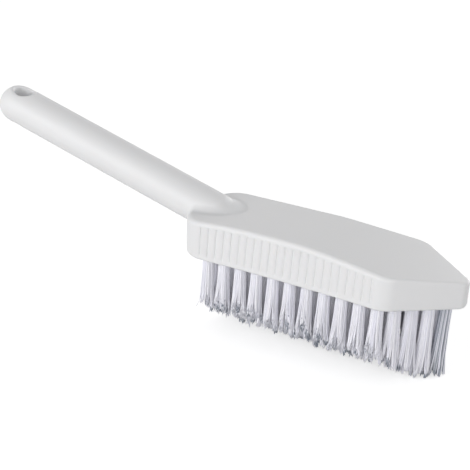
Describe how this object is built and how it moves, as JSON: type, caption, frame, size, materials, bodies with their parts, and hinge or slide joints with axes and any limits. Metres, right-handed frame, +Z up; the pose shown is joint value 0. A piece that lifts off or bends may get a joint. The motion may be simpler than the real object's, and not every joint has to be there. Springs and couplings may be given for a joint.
{
  "type": "scrub brush",
  "caption": "Hand scrub brush with a slanting bar handle, a hanging hole, a pointed-nose block with grip grooves, and rows of bristle tufts.",
  "frame": {"origin": "under the middle of the overall length, on the plane that the longest bristles stand on", "axes": "+X along the brush from the handle's end to the nose, +Y to the left, +Z up, away from the bristle ends"},
  "size_m": [0.2667, 0.053, 0.097],
  "materials": {
    "white_plastic": "satin",
    "white_bristle": "satin"
  },
  "bodies": {
    "root": {"brush_body": "white_plastic", "tuft_centre_01": "white_bristle", "tuft_centre_02": "white_bristle", "tuft_centre_03": "white_bristle", "tuft_centre_04": "white_bristle", "tuft_centre_05": "white_bristle", "tuft_centre_06": "white_bristle", "tuft_centre_07": "white_bristle", "tuft_centre_08": "white_bristle", "tuft_centre_09": "white_bristle", "tuft_outer_left_01": "white_bristle", "tuft_outer_left_02": "white_bristle", "tuft_outer_left_03": "white_bristle", "tuft_outer_left_04": "white_bristle", "tuft_outer_left_05": "white_bristle", "tuft_outer_left_06": "white_bristle", "tuft_outer_left_07": "white_bristle", "tuft_outer_left_08": "white_bristle", "tuft_outer_left_09": "white_bristle", "tuft_outer_left_10": "white_bristle", "tuft_outer_left_11": "white_bristle", "tuft_outer_left_12": "white_bristle", "tuft_outer_left_13": "white_bristle", "tuft_outer_left_14": "white_bristle", "tuft_inner_left_01": "white_bristle", "tuft_inner_left_02": "white_bristle", "tuft_inner_left_03": "white_bristle", "tuft_inner_left_04": "white_bristle", "tuft_inner_left_05": "white_bristle", "tuft_inner_left_06": "white_bristle", "tuft_inner_left_07": "white_bristle", "tuft_inner_left_08": "white_bristle", "tuft_inner_left_09": "white_bristle", "tuft_inner_left_10": "white_bristle", "tuft_outer_right_01": "white_bristle", "tuft_outer_right_02": "white_bristle", "tuft_outer_right_03": "white_bristle", "tuft_outer_right_04": "white_bristle", "tuft_outer_right_05": "white_bristle", "tuft_outer_right_06": "white_bristle", "tuft_outer_right_07": "white_bristle", "tuft_outer_right_08": "white_bristle", "tuft_outer_right_09": "white_bristle", "tuft_outer_right_10": "white_bristle", "tuft_outer_right_11": "white_bristle", "tuft_outer_right_12": "white_bristle", "tuft_outer_right_13": "white_bristle", "tuft_outer_right_14": "white_bristle", "tuft_inner_right_01": "white_bristle", "tuft_inner_right_02": "white_bristle", "tuft_inner_right_03": "white_bristle", "tuft_inner_right_04": "white_bristle", "tuft_inner_right_05": "white_bristle", "tuft_inner_right_06": "white_bristle", "tuft_inner_right_07": "white_bristle", "tuft_inner_right_08": "white_bristle", "tuft_inner_right_09": "white_bristle", "tuft_inner_right_10": "white_bristle", "tuft_outer_nose": "white_bristle", "tuft_inner_nose": "white_bristle"}
  },
  "joints": []
}
